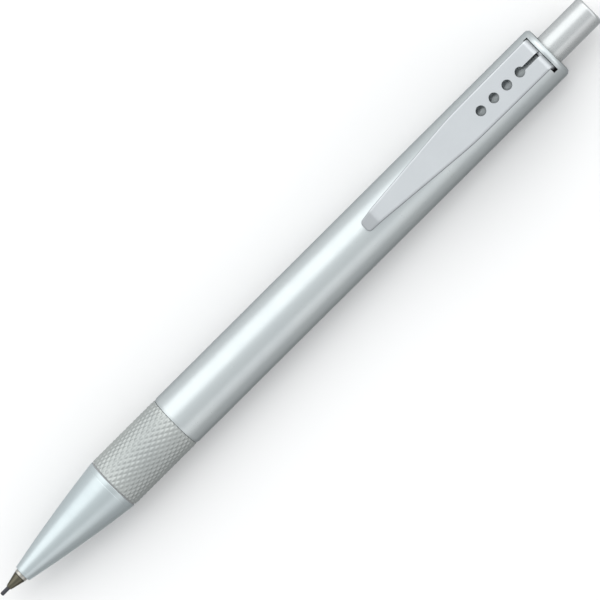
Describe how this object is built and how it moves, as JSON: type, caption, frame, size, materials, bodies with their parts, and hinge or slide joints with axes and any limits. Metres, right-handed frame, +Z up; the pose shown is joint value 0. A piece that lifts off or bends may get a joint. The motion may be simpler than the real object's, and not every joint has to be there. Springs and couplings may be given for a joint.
{
  "type": "mechanical pencil",
  "caption": "Slim metal mechanical pencil with a tapered screw-on nose, knurled grip, plain barrel, pierced pocket clip and a push button that feeds the lead.",
  "frame": {"origin": "on the resting plane, under the middle of the pencil's length", "axes": "+X along the pencil from lead tip to push button, +Z up through the clip, +Y completes a right-handed frame"},
  "size_m": [0.1372, 0.01, 0.0119],
  "materials": {
    "graphite": "dark graphite with a slight sheen",
    "guide_metal": "polished nickel-brass",
    "black_rubber": "matt",
    "nose_metal": "satin, turned",
    "washer_rubber": "matt grey",
    "collar_plastic": "black, moulded",
    "brass": "turned",
    "spring_steel": "drawn wire",
    "clear_plastic": "translucent moulded",
    "knurled_metal": "satin, diamond knurled",
    "barrel_metal": "satin anodised",
    "clip_steel": "brushed lengthwise",
    "guide_plastic": "moulded",
    "button_metal": "satin chrome",
    "eraser_rubber": "matt"
  },
  "bodies": {
    "barrel_assembly": {"barrel": "barrel_metal", "grip_sleeve": "knurled_metal", "front_coupling": "brass", "mechanism_sleeve": "brass", "return_spring": "spring_steel", "clip_collar": "collar_plastic", "button_guide": "guide_plastic"},
    "clip": {"clip": "clip_steel"},
    "nose_washer": {"nose_washer": "washer_rubber"},
    "nose": {"nose_cone": "nose_metal", "lead_guide": "guide_metal", "lead_retainer": "black_rubber"},
    "clutch_ring": {"clutch_ring": "brass"},
    "plunger": {"chuck": "brass", "chuck_connector": "brass", "lead_magazine": "clear_plastic", "spare_leads": "graphite"},
    "lead": {"lead": "graphite"},
    "eraser": {"eraser_holder": "brass", "eraser": "eraser_rubber"},
    "push_button": {"push_button": "button_metal"}
  },
  "joints": [
    {"name": "button_press", "type": "slide", "parent": "barrel_assembly", "child": "plunger", "axis": [-1, 0, 0], "range_m": [0, 0.0035], "stiffness_N_per_m": 700, "springref_m": -0.0035, "deforming": ["return_spring"]},
    {"name": "clutch_ring_shift", "type": "slide", "parent": "barrel_assembly", "child": "clutch_ring", "axis": [-1, 0, 0], "range_m": [0, 0.0009]},
    {"name": "lead_feed", "type": "slide", "parent": "barrel_assembly", "child": "lead", "axis": [-1, 0, 0], "range_m": [-0.0017, 0.01]},
    {"name": "nose_travel", "type": "slide", "parent": "barrel_assembly", "child": "nose_washer", "axis": [-1, 0, 0], "range_m": [0, 0.00525]},
    {"name": "nose_turn", "type": "hinge", "parent": "nose_washer", "child": "nose", "pos_m": [-0.05365, 0, 0.005], "axis": [-1, 0, 0], "range_deg": [0, 2520]},
    {"name": "clip_flex", "type": "hinge", "parent": "barrel_assembly", "child": "clip", "pos_m": [0.05758, 0, 0.0096], "axis": [0, 1, 0], "range_deg": [0, 3], "stiffness_Nm_per_rad": 1.2, "springref_deg": -1.15},
    {"name": "eraser_pull", "type": "slide", "parent": "plunger", "child": "eraser", "axis": [1, 0, 0], "range_m": [0, 0.009]},
    {"name": "button_pull", "type": "slide", "parent": "eraser", "child": "push_button", "axis": [1, 0, 0], "range_m": [0, 0.015]}
  ],
  "couplings": [
    {"joint": "clutch_ring_shift", "follows": "button_press", "ratio": 0.2571},
    {"joint": "nose_turn", "follows": "nose_travel", "rad_per_m": 8377.6}
  ]
}
